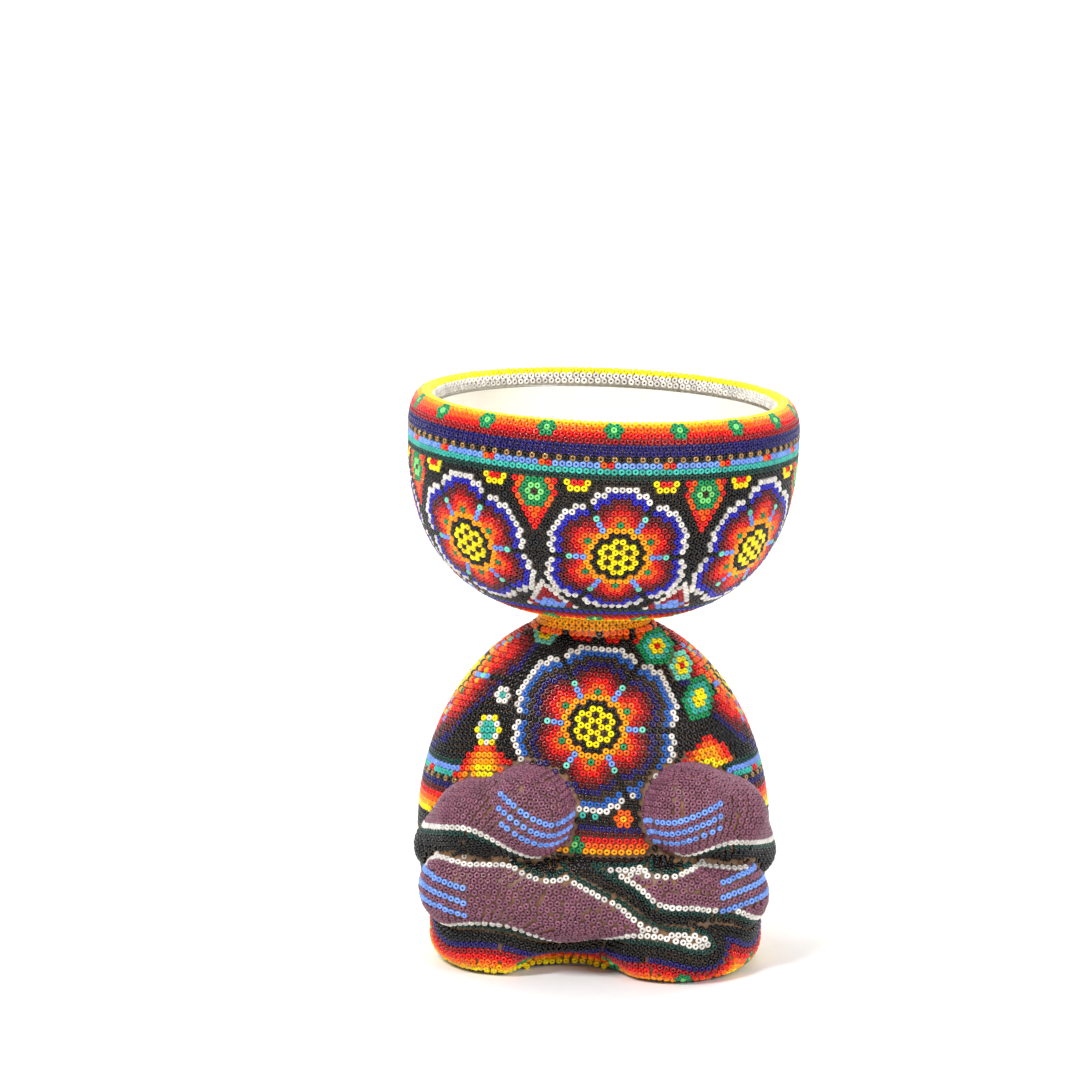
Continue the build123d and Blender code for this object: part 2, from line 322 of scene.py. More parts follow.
def place_beads(beads):
    """Make the meshes from the beads of each CAD node, given as (centre, normal, letter)."""
    for node, rows in sorted(beads.items()):
        count = math.ceil(len(rows) / MOST_BEADS)
        size = math.ceil(len(rows) / count)
        for part in range(count):
            some = rows[part * size:(part + 1) * size]
            suffix = f"_{part + 1}" if count > 1 else ""
            centres, normals, letters = zip(*some)
            piece = bead_object(f"{node}_glass{suffix}", centres, normals, letters)
            finish_piece(piece, node)


# ---------------------------------------------------------------- bead charts

# Rings of the large flower from its centre: bead on each corner, beads along each side
BOWL_FLOWER = [
    "Z", "Y", "YZ", "KYY", "DKKK", "PDDDD", "PROGOR", "LCROORC", "KMCRRRCM",
    "KBMMCCMMB", "KWBBMMMBBW", "KKWWBBBBWWK", "KKKKWWWWWKKK",
]
CHEST_FLOWER = BOWL_FLOWER[:9] + [
    "KNMCCCCMN", "KZNNMMMNNZ", "KAZZNNNNZZA", "KWAAZZZZZAAW", "KKWWAAAAAAWWK", "KKKKWWWWWWWKKK",
]
SLEEVE_FLOWER = BOWL_FLOWER[:7] + [
    "LDOROOD", "PRRORORR", "KCRRRRRRC", "KMCCRRRCCM", "KMMMCCCCMMM", "KNNMMMMMMMNN", "KKNNNNNNNNNNK",
]
SMALL_FLOWERS = {
    "flame": ["R", "Y", "T", "G"],
    "star": ["R", "Y", "L"],
    "moss": ["Y", "Y", "T", "G"],
    "sky": ["T", "T", "YW"],
    "sun": ["D", "O"],
    "cloud": ["T", "WD"],
    "leaf": ["g", "G"],
}
# Charts of the other figures, from their top row down
BOWL_DROP = ["ROGGGOR", "OGggGO", "RGgZgGR", "OGggGO", "OGGGO", "ROOR", "ROR", "RR", "R"]
BOWL_CUP = ["YRRY", "YYY"]
BOWL_PEAK = ["W", "WW", "WCW", "WCCW", "WCCCW", "WCPPCW", "CPPPPPC", "WCPPPPCW"]
HALF_SUN = ["RR", "ROOR", "RODDDOR", "RODDDDOR", "RODYYYDOR", "ODYYYYYYDO"]
SPROUT = ["G", "TT"]


def ring_letter(rings, row, across):
    """Letter of the bead at a lattice place, or None outside the flower."""
    ring = round(max(abs(row), abs(across) + abs(row) / 2))
    if ring >= len(rings):
        return None
    chart = rings[ring]
    if ring == 0:
        return chart[0]
    side = abs(across) + ring / 2 if abs(row) == ring else abs(row)
    side = round(side) % ring
    return chart[side] if side < len(chart) else chart[-1]


def flower_rows(rings):
    """Chart of a flower as row number to the string of its beads, without its black corners."""
    reach = len(rings) - 1
    chart = {}
    for row in range(-reach, reach + 1):
        count = 2 * reach + 1 - abs(row)
        letters = [ring_letter(rings, row, i - (count - 1) / 2) or "K" for i in range(count)]
        while len(letters) > 1 and letters[0] == letters[-1] == "K":
            letters = letters[1:-1]
        if letters != ["K"]:
            chart[row] = "".join(letters)
    return chart


def flower(centre, row, rings):
    """Chart of a flower with its centre at an arc length round the row and at a row number."""
    return {"centre": centre, "row": row, "rows": flower_rows(rings)}


def figure(centre, row, lines):
    """Chart drawn from its top row down, the same way up as it is worn."""
    return {"centre": centre, "row": row, "rows": dict(enumerate(lines))}


CLOSEST = 0.9       # share of the pitch that two figures' beads keep between them


def fill_row(length, row, motifs, ground):
    """Every bead of one closed row as (arc length, letter): figures first, then ground beads."""
    taken = []
    for item in motifs:
        letters = item["rows"].get(row - item["row"])
        if not letters:
            continue
        for i, letter in enumerate(letters):
            arc = (item["centre"] + (i - (len(letters) - 1) / 2) * PITCH) % length
            gaps = [abs((arc - other + length / 2) % length - length / 2) for other, _ in taken]
            if not gaps or min(gaps) > PITCH * CLOSEST:
                taken.append((arc, letter))
    if not taken:
        count = max(1, round(length / PITCH))
        shift = 0.5 * (row % 2)
        places = [(i + shift) * length / count for i in range(count)]
        return [(place, ground(place)) for place in places]
    taken.sort()
    beads = list(taken)
    for (arc, _), (after, _) in zip(taken, taken[1:] + [(taken[0][0] + length, "")]):
        count = round((after - arc) / PITCH) - 1
        for i in range(count):
            place = (arc + (after - arc) * (i + 1) / (count + 1)) % length
            beads.append((place, ground(place)))
    return beads


# ---------------------------------------------------------------- bowl

# The widest level, the wall under it (a superellipse), and the rounded rim over it
BELLY_RADIUS, BELLY_Z, BOWL_DEPTH, FULLNESS = 62.6, 173.0, 62.0, 2.62
CREST_RADIUS, CREST_Z, MOUTH_RADIUS, LIP_DROP, LINING = 57.5, 182.4, 54.3, 3.6, 2.4
BOWL_LEAN, BOWL_SHIFT = math.radians(2.0), 1.0
# Rows are numbered down the outside from the crest of the rim
FIRST_ROW, MEDALLION_ROW, LAST_ROW = -3, 24, 45
RIM_FLOWER_ROW, DROP_ROW, PEAK_ROW, UNDERSIDE_FLOWER_ROW = 2, 11, 30, 43
GOLD_ROW, SPOTTED_ROW = 7, 8
MEDALLIONS, MEDALLION_TURN, MEDALLION_REACH = 7, 5.0, 24.4
CUP_OFFSET = 6.3        # pitches from a drop to the half flowers beside it
RIM_FLOWERS, RIM_START = 18, -88
UNDERSIDE_FLOWERS, UNDERSIDE_START = 14, -92
WAX_STEPS = 240


def arc_outline(centre, radii, start, end, steps):
    angles = np.radians(np.linspace(start, end, steps + 1))
    across = centre[0] + radii[0] * np.cos(angles)
    return np.stack([across, centre[1] + radii[1] * np.sin(angles)], 1)


def bowl_outline():
    """The bowl's bead surface as (r, z), from inside the mouth, over the crest and down to the axis."""
    lip_foot = CREST_Z - LIP_DROP
    lip = (CREST_RADIUS - MOUTH_RADIUS, LIP_DROP)
    shoulder = (BELLY_RADIUS - CREST_RADIUS, CREST_Z - BELLY_Z)
    inner = arc_outline((CREST_RADIUS, lip_foot), lip, 180, 90, 40)
    outer = arc_outline((CREST_RADIUS, BELLY_Z), shoulder, 90, 0, 60)
    angles = np.linspace(0, math.pi / 2, 401)[1:]
    power = 2 / FULLNESS
    across = BELLY_RADIUS * np.clip(np.cos(angles), 0, 1) ** power
    wall = np.stack([across, BELLY_Z - BOWL_DEPTH * np.sin(angles) ** power], 1)
    return np.concatenate([[(MOUTH_RADIUS, lip_foot - LINING)], inner, outer[1:], wall])


OUTLINE = bowl_outline()
LENGTHS = np.concatenate([[0], np.cumsum(np.linalg.norm(np.diff(OUTLINE, axis=0), axis=1))])
CREST_LENGTH = LENGTHS[OUTLINE[:, 1].argmax()]


def bowl_section(distance, depth=0.0):
    """(r, z) and its outward normal at an arc length from the crest."""
    reach = np.array([-0.4, 0.0, 0.4]) + np.clip(distance + CREST_LENGTH, 0.4, LENGTHS[-1] - 0.4)
    r = np.interp(reach, LENGTHS, OUTLINE[:, 0])
    z = np.interp(reach, LENGTHS, OUTLINE[:, 1])
    along = np.array([r[2] - r[0], z[2] - z[0]])
    normal = np.array([-along[1], along[0]]) / np.linalg.norm(along)
    return np.array([r[1], z[1]]) - normal * depth, normal


def lean_direction(vectors):
    """Tip directions as the real bowl stands."""
    x, y, z = np.asarray(vectors, float).T
    c, s = math.cos(BOWL_LEAN), math.sin(BOWL_LEAN)
    return np.stack([x * c + z * s, y, z * c - x * s], 1)


def lean(points):
    """Tip points of the upright bowl about its foot."""
    foot = BELLY_Z - BOWL_DEPTH
    return lean_direction(np.asarray(points, float) - [0, 0, foot]) + [BOWL_SHIFT, 0, foot]


RIM_ROWS = {
    -3: "W", -2: "W", -1: "Y", 0: "Y", 1: "D", 2: "O", 3: "R", 4: "C", 5: "N", 6: "N", 9: "T", 10: "E",
    38: "E", 39: "B", 40: "M", 41: "C", 42: "R", 43: "O", 44: "D", 45: "Y",
}
# CAD node of each band: the last row in it, and its name
BOWL_NODES = [
    (-2, "bowl_mouth_white_beads"), (0, "bowl_rim_yellow_beads"), (2, "bowl_rim_orange_beads"),
    (4, "bowl_rim_red_beads"), (6, "bowl_rim_navy_beads"), (7, "bowl_rim_speckled_beads"),
    (8, "bowl_rim_light_blue_beads"), (9, "bowl_rim_turquoise_beads"), (10, "bowl_rim_green_beads"),
    (37, "bowl_ground_beads"), (39, "bowl_underside_blue_beads"), (42, "bowl_underside_red_beads"),
    (45, "bowl_underside_gold_beads"),
]


def bowl_motifs(radius):
    """Motifs of the bowl, with centres as arc lengths round a row of this radius."""
    def arc(degrees):
        return math.radians(degrees % 360) * radius

    motifs = []
    step = 360 / MEDALLIONS
    for i in range(MEDALLIONS):
        middle = -90 + MEDALLION_TURN + i * step
        motifs.append(flower(arc(middle), MEDALLION_ROW, BOWL_FLOWER))
    for i in range(MEDALLIONS):
        gap = -90 + MEDALLION_TURN + (i + 0.5) * step
        motifs.append(figure(arc(gap), DROP_ROW, BOWL_DROP))
        motifs.append(figure(arc(gap), PEAK_ROW, BOWL_PEAK))
        for side in (-1, 1):
            motifs.append(figure(arc(gap) + side * CUP_OFFSET * PITCH, DROP_ROW, BOWL_CUP))
    leaf = SMALL_FLOWERS["leaf"]
    for i in range(RIM_FLOWERS):
        motifs.append(flower(arc(RIM_START + i * 360 / RIM_FLOWERS), RIM_FLOWER_ROW, leaf))
    for i in range(UNDERSIDE_FLOWERS):
        turn = UNDERSIDE_START + i * 360 / UNDERSIDE_FLOWERS
        motifs.append(flower(arc(turn), UNDERSIDE_FLOWER_ROW, leaf))
    return motifs


def bowl_ground(row):
    """Letter of the bowl's ground beads in one row, by their place round it."""
    def letter(place):
        number = int(place / PITCH)
        if row == GOLD_ROW:
            return "KS"[number % 2]
        if row == SPOTTED_ROW:
            return "PPPPPPPOR"[number % 9]
        return RIM_ROWS.get(row, "K")
    return letter


def bowl_node(row, angle):
    """CAD node that a bead of the bowl belongs to."""
    node = next(name for last, name in BOWL_NODES if row <= last)
    if node != "bowl_ground_beads":
        return node
    step = 360 / MEDALLIONS
    turn = math.degrees(angle) + 90 - MEDALLION_TURN
    index = round(turn / step)
    off = math.radians(abs(turn - index * step))
    radius = bowl_section(row * ROW)[0][0]
    if math.hypot(off * radius, (row - MEDALLION_ROW) * ROW) < MEDALLION_REACH:
        return f"bowl_medallion_{index % MEDALLIONS + 1}_beads"
    return node


def bowl_beads(beads):
    """Level rows round the bowl, from inside its mouth to its underside."""
    for row in range(FIRST_ROW, LAST_ROW + 1):
        (radius, height), normal = bowl_section(row * ROW, BEAD_DEPTH)
        ring = bowl_section(row * ROW)[0][0]
        length = 2 * math.pi * ring
        for arc, letter in fill_row(length, row, bowl_motifs(ring), bowl_ground(row)):
            angle = arc / ring
            c, s = math.cos(angle), math.sin(angle)
            centre = lean([(radius * c, radius * s, height)])[0]
            out = lean_direction([(normal[0] * c, normal[0] * s, normal[1])])[0]
            beads.setdefault(bowl_node(row, angle), []).append((centre, out, letter))


def bowl_wax():
    """Wax coat of the bowl, a little proud between the beads."""
    reach = np.arange(FIRST_ROW - 0.3, LAST_ROW + 0.8, 0.5) * ROW
    outer = [bowl_section(d, WAX_DEPTH)[0] for d in reach]
    inner = [bowl_section(d, CASTING_DEPTH - 0.05)[0] for d in reach[::-1]]
    points, faces = revolved(outer + inner, WAX_STEPS)
    # The wax colour is partly painted shade between the beads.
    piece = mesh_object("bowl_wax_coat", lean(points), faces[:, ::-1], [mottled("beeswax_and_painted_shade")])
    finish_piece(piece, "bowl_wax")


# ---------------------------------------------------------------- body surface

TRUNK_CENTRE = np.array([0.0, 3.0, 40.0])
TRUNK_RADII = np.array([57.0, 41.5, 72.0])
# Each limb is two tapers: a ball's centre and radius at one end, then at the other
HAND_LEFT = [
    ((-48.5, -14, 38), 9.4, (-38.5, -26, 49), 12.6),
    ((-36, -27.5, 48.5), 11.5, (-20.8, -34.5, 53.6), 15.2),
]
HAND_RIGHT = [
    ((49.3, -14, 36.5), 9.3, (42, -26, 50), 13),
    ((40, -27.5, 49), 12, (30.3, -34, 54), 15.3),
]
LEG_LEFT = [
    ((-42.5, -27, 27.5), 13.6, (-10, -34.5, 26), 14),
    ((-15, -33.5, 26), 12, (34, -45, 14.5), 3),
]
LEG_RIGHT = [
    ((43.5, -27, 25), 12.4, (23, -38, 27), 12),
    ((26, -36, 28.5), 9.5, (-4, -40, 36), 4),
]
# Fuller tapers, which settle where each leg's bead field ends on the shared surface
LEG_LEFT_FIELD = [
    ((-42.5, -27, 26.5), 14.3, (-10, -34.5, 24.5), 15),
    ((-15, -33.5, 26), 12.5, (40, -50, 12.5), 4.2),
]
LEG_RIGHT_FIELD = [
    ((43.5, -27, 23.8), 13.4, (23, -38, 25.8), 13.2),
    ((26, -36, 28), 10, (-4, -40, 36), 4),
]
# Knees that the figure rests on: x, y, half width, half depth
KNEES = [(-27.0, -9.0, 26.0, 31.0), (26.0, -12.0, 28.0, 38.0)]
KNEE_HEIGHT, KNEE_ROUNDING = 20.0, 8.0
ARCH_CENTRE, ARCH_RADII = np.array([-9.0, -52.0, 0.0]), np.array([22.0, 29.0, 9.5])
BASE_TOP = 19.5
BLEND, LIMB_BLEND = 1.5, 6.0      # softness of the creases, and of the joint within a limb
GRID = 1.6
GRID_LOW, GRID_HIGH = np.array([-64.0, -58.0, -3.0]), np.array([64.0, 50.0, 111.0])
GROUPS = ["trunk", "hand_left", "hand_right", "leg_left", "leg_right", "base"]


def ellipsoid(points, centre, radii):
    """Distance to an ellipsoid, good near its surface."""
    local = points - centre
    near = np.linalg.norm(local / radii, axis=1)
    slope = np.linalg.norm(local / radii ** 2, axis=1)
    return near * (near - 1) / np.maximum(slope, 1e-9)


def taper(points, start, radius_a, end, radius_b):
    """Distance to two balls and the cone that touches both."""
    start, end = np.array(start, float), np.array(end, float)
    axis = end - start
    square = axis @ axis
    change = radius_a - radius_b
    slant = square - change * change
    local = points - start
    y = local @ axis
    z = y - square
    x2 = ((local * square - np.outer(y, axis)) ** 2).sum(axis=1)
    y2, z2 = y * y * square, z * z * square
    edge = np.sign(change) * change * change * x2
    middle = (np.sqrt(x2 * slant / square) + y * change) / square - radius_a
    past = np.sqrt(x2 + z2) / square - radius_b
    before = np.sqrt(x2 + y2) / square - radius_a
    inner = np.where(np.sign(y) * slant * y2 < edge, before, middle)
    return np.where(np.sign(z) * slant * z2 > edge, past, inner)


def knee(points, x, y, half_x, half_y):
    """Distance to an upright oval block with rounded edges."""
    flat = np.stack([points[:, 0] - x, points[:, 1] - y, np.zeros(len(points))], 1)
    sides = np.array([half_x - KNEE_ROUNDING, half_y - KNEE_ROUNDING, 1.0])
    wide = ellipsoid(flat, np.zeros(3), sides)
    tall = np.abs(points[:, 2] - KNEE_HEIGHT / 2) - (KNEE_HEIGHT / 2 - KNEE_ROUNDING)
    outside = np.hypot(np.maximum(wide, 0), np.maximum(tall, 0))
    return outside + np.minimum(np.maximum(wide, tall), 0) - KNEE_ROUNDING


def smooth_union(a, b, blend=BLEND):
    """Nearer of two distances, with the crease between them rounded."""
    overlap = np.maximum(blend - np.abs(a - b), 0) / blend
    return np.minimum(a, b) - overlap * overlap * blend / 4


def limb(points, tapers):
    return smooth_union(taper(points, *tapers[0]), taper(points, *tapers[1]), LIMB_BLEND)


def group_distances(points):
    """Distance to each part of the body on its own."""
    shell = ellipsoid(points, TRUNK_CENTRE, TRUNK_RADII)
    fields = (HAND_LEFT, HAND_RIGHT, LEG_LEFT_FIELD, LEG_RIGHT_FIELD)
    limbs = [limb(points, tapers) for tapers in fields]
    knees = smooth_union(knee(points, *KNEES[0]), knee(points, *KNEES[1]), LIMB_BLEND)
    height = points[:, 2]
    upper = np.maximum(shell, BASE_TOP - height)
    base = np.minimum(knees, np.maximum(shell, height - BASE_TOP))
    return np.stack([upper] + limbs + [base])


def distance(points):
    """Distance to the beads' outer surface over the whole body."""
    whole = ellipsoid(points, TRUNK_CENTRE, TRUNK_RADII)
    for spot in KNEES:
        whole = smooth_union(whole, knee(points, *spot))
    for tapers in (HAND_LEFT, HAND_RIGHT, LEG_LEFT, LEG_RIGHT):
        whole = smooth_union(whole, limb(points, tapers))
    whole = -smooth_union(-whole, ellipsoid(points, ARCH_CENTRE, ARCH_RADII))
    height = points[:, 2]
    return np.maximum(whole, np.maximum(height - TOP_LEVEL, -height))


def gradient(points, reach=0.15):
    """Outward normal of the body at each point."""
    steps = np.eye(3) * reach
    slope = np.stack([distance(points + step) - distance(points - step) for step in steps], 1)
    return slope / np.maximum(np.linalg.norm(slope, axis=1), 1e-9)[:, None]


def settle(points, level, rounds=5):
    """Move points onto the surface at this level."""
    points = np.array(points, float)
    for _ in range(rounds):
        points -= gradient(points) * (distance(points) - level)[:, None]
    return points


def cells_around(where, axis):
    """Indices of the four grid cells round each edge that runs along an axis, in turn."""
    first, second = [k for k in range(3) if k != axis]
    found = []
    for back in ((0, 0), (1, 0), (1, 1), (0, 1)):
        cell = where.copy()
        cell[:, first] -= back[0]
        cell[:, second] -= back[1]
        found.append(tuple(cell.T))
    return found


def surface_net(step):
    """Closed quad mesh of the body, one point to each grid cell that the surface crosses."""
    axes = [np.arange(low, high, step) for low, high in zip(GRID_LOW, GRID_HIGH)]
    grid = np.stack(np.meshgrid(*axes, indexing="ij"), -1)
    values = distance(grid.reshape(-1, 3)).reshape(grid.shape[:3])
    inside = values < 0
    cells = tuple(n - 1 for n in inside.shape)
    total, count = np.zeros(cells + (3,)), np.zeros(cells)
    edges = []
    for axis in range(3):
        low = [slice(None)] * 3
        high = [slice(None)] * 3
        low[axis], high[axis] = slice(None, -1), slice(1, None)
        a, b = values[tuple(low)], values[tuple(high)]
        where = np.argwhere((a < 0) != (b < 0))
        first = a[tuple(where.T)]
        part = first / (first - b[tuple(where.T)])
        point = grid[tuple(where.T)] + np.eye(3)[axis] * step * part[:, None]
        around = cells_around(where, axis)
        for cell in around:
            np.add.at(total, cell, point)
            np.add.at(count, cell, 1)
        edges.append((axis, around, first < 0))
    filled = count > 0
    numbers = np.full(cells, -1)
    numbers[filled] = np.arange(filled.sum())
    points = total[filled] / count[filled][:, None]
    faces = []
    for axis, around, leaving in edges:
        quad = np.stack([numbers[cell] for cell in around], 1)
        flip = leaving if axis != 1 else ~leaving
        quad[~flip] = quad[~flip][:, ::-1]
        faces.append(quad)
    return points, np.concatenate(faces)


def body_wax(points, faces):
    """Wax skin of the body, in one piece, as it is smoothed over the casting."""
    # The wax colour is partly painted shade between the beads.
    piece = mesh_object("body_wax_coat", settle(points, -WAX_DEPTH), faces, [mottled("beeswax_and_painted_shade")])
    finish_piece(piece, "body_wax")


# ---------------------------------------------------------------- body rows

def square_gap(a, b):
    return (a[0] - b[0]) ** 2 + (a[1] - b[1]) ** 2 + (a[2] - b[2]) ** 2


# Nearest that the middles of two beads may be: along a row, on the trunk, and in a hole
ROW_ROOM, TRUNK_ROOM, HOLE_ROOM = 2.0, 1.75, 1.7
ACROSS = 0.76       # share of that room which beads on two sides of a crease keep
FINE_STEP, CREASE_STEP, COARSE_STEP = 0.14, 0.2, 0.5
NEAR_BORDER, CREASE_SLACK = 3.0, 0.4
TRUNK_MARGIN, HOLE_MARGIN = 0.6, 0.8        # kept free under the flat top of the body
# How beads are nudged apart: share of what is missing, most in one round, and how alike they face
PUSH, MOST_PUSH, SAME_SIDE, ROUNDS = 0.35, 0.35, 0.55, 10


class Crowd:
    """Places already taken by beads, for quick nearness tests."""

    def __init__(self):
        self.cells = {}

    def key(self, point):
        return tuple(int(math.floor(value / PITCH)) for value in point)

    def add(self, point, owner):
        self.cells.setdefault(self.key(point), []).append((point, owner))

    def clear(self, point, owner, reach):
        """True if no bead is nearer than reach; across a crease they may sit closer."""
        x, y, z = self.key(point)
        for i, j, k in product((x - 1, x, x + 1), (y - 1, y, y + 1), (z - 1, z, z + 1)):
            for other, part in self.cells.get((i, j, k), ()):
                room = reach if part == owner else reach * ACROSS
                if square_gap(other, point) < room * room:
                    return False
        return True


def iso_lines(points, triangles, field, level):
    """Lines where the field passes a level, as chains of points."""
    above = field > level
    count = above[triangles].sum(axis=1)
    links, where = {}, {}
    for triangle in triangles[(count == 1) | (count == 2)].tolist():
        ends = []
        for a, b in ((0, 1), (1, 2), (2, 0)):
            i, j = sorted((triangle[a], triangle[b]))
            if above[i] == above[j]:
                continue
            if (i, j) not in where:
                part = (level - field[i]) / (field[j] - field[i])
                where[(i, j)] = points[i] + (points[j] - points[i]) * part
            ends.append((i, j))
        links.setdefault(ends[0], []).append(ends[1])
        links.setdefault(ends[1], []).append(ends[0])
    chains, used = [], set()
    for start in sorted(links, key=lambda key: (len(links[key]), key)):
        if start in used:
            continue
        chain, here = [], start
        while here is not None:
            used.add(here)
            chain.append(where[here])
            here = next((key for key in links[here] if key not in used), None)
        if len(links[start]) == 2 and len(chain) > 4:
            chain.append(chain[0])
        chains.append(np.array(chain))
    return chains


def walk(chain, step):
    """Points at even steps along a chain."""
    lengths = np.concatenate([[0], np.cumsum(np.linalg.norm(np.diff(chain, axis=0), axis=1))])
    reach = np.arange(0, lengths[-1], step)
    return np.stack([np.interp(reach, lengths, chain[:, k]) for k in range(3)], 1)


def line_points(points, triangles, field, step):
    """Evenly walked points along the line where a field is zero."""
    lines = iso_lines(points, triangles, field, 0.0)
    return np.concatenate([walk(chain, step) for chain in lines if len(chain) > 1])


def tree_of(points):
    tree = KDTree(len(points))
    for i, point in enumerate(points):
        tree.insert(point, i)
    tree.balance()
    return tree


def nearest(tree, points):
    """Distance from each point to the tree."""
    return np.array([tree.find(point)[2] for point in points])


def creases(points, triangles, shares, group, neighbours):
    """Points along the borders between a group and some of the others."""
    away = np.delete(shares, group, axis=0).min(axis=0)
    line = line_points(points, triangles, away - shares[group], CREASE_STEP)
    at_line = group_distances(line)
    least = np.delete(at_line, group, axis=0).min(axis=0)
    return line[at_line[neighbours].min(axis=0) < least + CREASE_SLACK]


def rows_field(points, triangles, seeds, near):
    """Distance over the surface from a line of seed points, grown outwards one row at a time."""
    field = nearest(tree_of(seeds), points)
    level = ROW
    while level < field[near].max():
        lines = iso_lines(points, triangles, field, level)
        chains = [walk(chain, COARSE_STEP) for chain in lines if len(chain) > 2]
        if not chains:
            break
        beyond = (field > level) & near
        field[beyond] = level + nearest(tree_of(np.concatenate(chains)), points[beyond])
        level += ROW
    return field


def relaxed(points, moving):
    """Push crowded beads apart over the surface, as they are nudged when they are set."""
    points = np.array(points, float)
    normals = gradient(points)
    for _ in range(ROUNDS):
        tree = tree_of(points)
        push = np.zeros_like(points)
        for i in moving:
            for _, j, gap in tree.find_range(points[i], PITCH):
                if j != i and gap > 1e-6 and normals[i] @ normals[j] > SAME_SIDE:
                    push[i] += (points[i] - points[j]) * (PUSH * (PITCH - gap) / gap)
        points[moving] += np.clip(push[moving], -MOST_PUSH, MOST_PUSH)
        points[moving] = settle(points[moving], 0.0, 1)
    return points


# ---------------------------------------------------------------- trunk rows

CHEST_Z = 80.5
CHEST_TILT = math.radians(6.0)
SWIRL_START, SWIRL_END = 31.0, 48.0
# Rows are numbered down from the middle of the chest flower
TRUNK_TOP_ROW, TRUNK_LAST_ROW = -20, 34
COLLAR_ROW, COLLAR_EDGE_ROW = -17, -16
CUFF_ROWS = {8: "E", 9: "P", 10: "T", 11: "S", 12: "N", 13: "M", 14: "R", 15: "O", 16: "D", 17: "Y"}
CUFF_TOP_ROW, CUFF_PAIR_ROW, CUFF_GOLD_ROW = 8, 10, 11
CUFF_ARC = 36.0         # where the cuffs start, round from the front
HEM_ROWS = {17: "N", 18: "M", 19: "R", 20: "O", 21: "D", 22: "Y"}
# Small flowers: arc length from the front, row and kind
FRONT_FLOWERS = [
    (18.8, -15, "flame"), (28.5, -11, "star"), (35.5, -5, "moss"), (-32.5, -3, "cloud"),
    (-36.5, 3, "sky"), (12.2, 15, "sun"), (-4.0, 20, "leaf"), (-20, -16, "star"),
]
HALF_SUNS = [(-37.0, 5), (38.5, 2)]
BACK_FLOWERS, BACK_FLOWER_ROW = ["moss", "star", "flame", "sky"], 24
BACK_FLOWER_COUNT = 9
SLEEVE_ROW, SLEEVE_SHIFT, SPROUT_ROW = -6, 3.0, 14
# Borders between the trunk's CAD nodes
COLLAR_Z, SEAT_Z, CUFF_LOW, CUFF_HIGH, SLEEVE_X, CHEST_REACH = 99, 20, 46, 63, 31, 26


def meridian():
    """Arc length down the front of the trunk against height, from the chest flower's centre."""
    angles = np.linspace(-math.pi / 2, math.pi / 2, 2001)
    y, z = TRUNK_RADII[1] * np.cos(angles), TRUNK_RADII[2] * np.sin(angles)
    lengths = arc_lengths(y, z)
    heights = z + TRUNK_CENTRE[2]
    chest = np.interp(CHEST_Z, heights, lengths)
    return heights, chest - lengths


HEIGHTS, DROPS = meridian()


def trunk_ring(row):
    """Height, arc lengths and points round the trunk at one row, starting from the front."""
    height = np.interp(row * ROW, DROPS[::-1], HEIGHTS[::-1])
    scale = math.sqrt(max(1e-4, 1 - ((height - TRUNK_CENTRE[2]) / TRUNK_RADII[2]) ** 2))
    if row > CUFF_TOP_ROW:
        back = settle(np.array([[0.0, TRUNK_CENTRE[1] + scale * TRUNK_RADII[1], height]]), 0.0)[0]
        scale = (back[1] - TRUNK_CENTRE[1]) / TRUNK_RADII[1]
    turn = np.linspace(0, 2 * math.pi, 721)
    x = TRUNK_RADII[0] * scale * np.sin(turn)
    y = TRUNK_CENTRE[1] - TRUNK_RADII[1] * scale * np.cos(turn)
    return height, arc_lengths(x, y), x, y


def trunk_motifs(length):
    """Figures of the trunk, the front ones repeated on the back."""
    half = length / 2
    motifs = [flower(0.0, 0, CHEST_FLOWER), flower(half, 0, CHEST_FLOWER)]
    for arc, row, name in FRONT_FLOWERS:
        motifs.append(flower(arc, row, SMALL_FLOWERS[name]))
        if row < CUFF_TOP_ROW:
            motifs.append(flower(half + arc, row, SMALL_FLOWERS[name]))
    for arc, row in HALF_SUNS:
        motifs.append(figure(arc, row, HALF_SUN))
        motifs.append(figure(half + arc, row, HALF_SUN))
    for i in range(BACK_FLOWER_COUNT):
        place = (i - (BACK_FLOWER_COUNT - 1) / 2) * (length - 2 * CUFF_ARC) / BACK_FLOWER_COUNT
        name = BACK_FLOWERS[i % len(BACK_FLOWERS)]
        motifs.append(flower(half + place, BACK_FLOWER_ROW, SMALL_FLOWERS[name]))
    for side in (-1, 1):
        motifs.append(flower(side * (length / 4 + SLEEVE_SHIFT), SLEEVE_ROW, SLEEVE_FLOWER))
        for arc in (-6.0, 6.0, 18.0):
            motifs.append(figure(side * 8.0 + arc, SPROUT_ROW, SPROUT))
    return motifs


def trunk_ground(row, length):
    """Letter of the trunk's ground beads in one row, by their place round it."""
    def letter(place):
        number = int(place / PITCH)
        from_front = min(place, length - place)
        if from_front > CUFF_ARC and row in CUFF_ROWS:
            if row == CUFF_GOLD_ROW:
                return "KS"[number % 2]
            if row == CUFF_PAIR_ROW and number % 7 < 2:
                return "R"
            return CUFF_ROWS[row]
        if row <= COLLAR_ROW:
            return "OOOOK"[number % 5]
        if row == COLLAR_EDGE_ROW:
            return "RRRKK"[number % 5]
        if row in HEM_ROWS and from_front <= CUFF_ARC:
            return HEM_ROWS[row]
        return "K"
    return letter


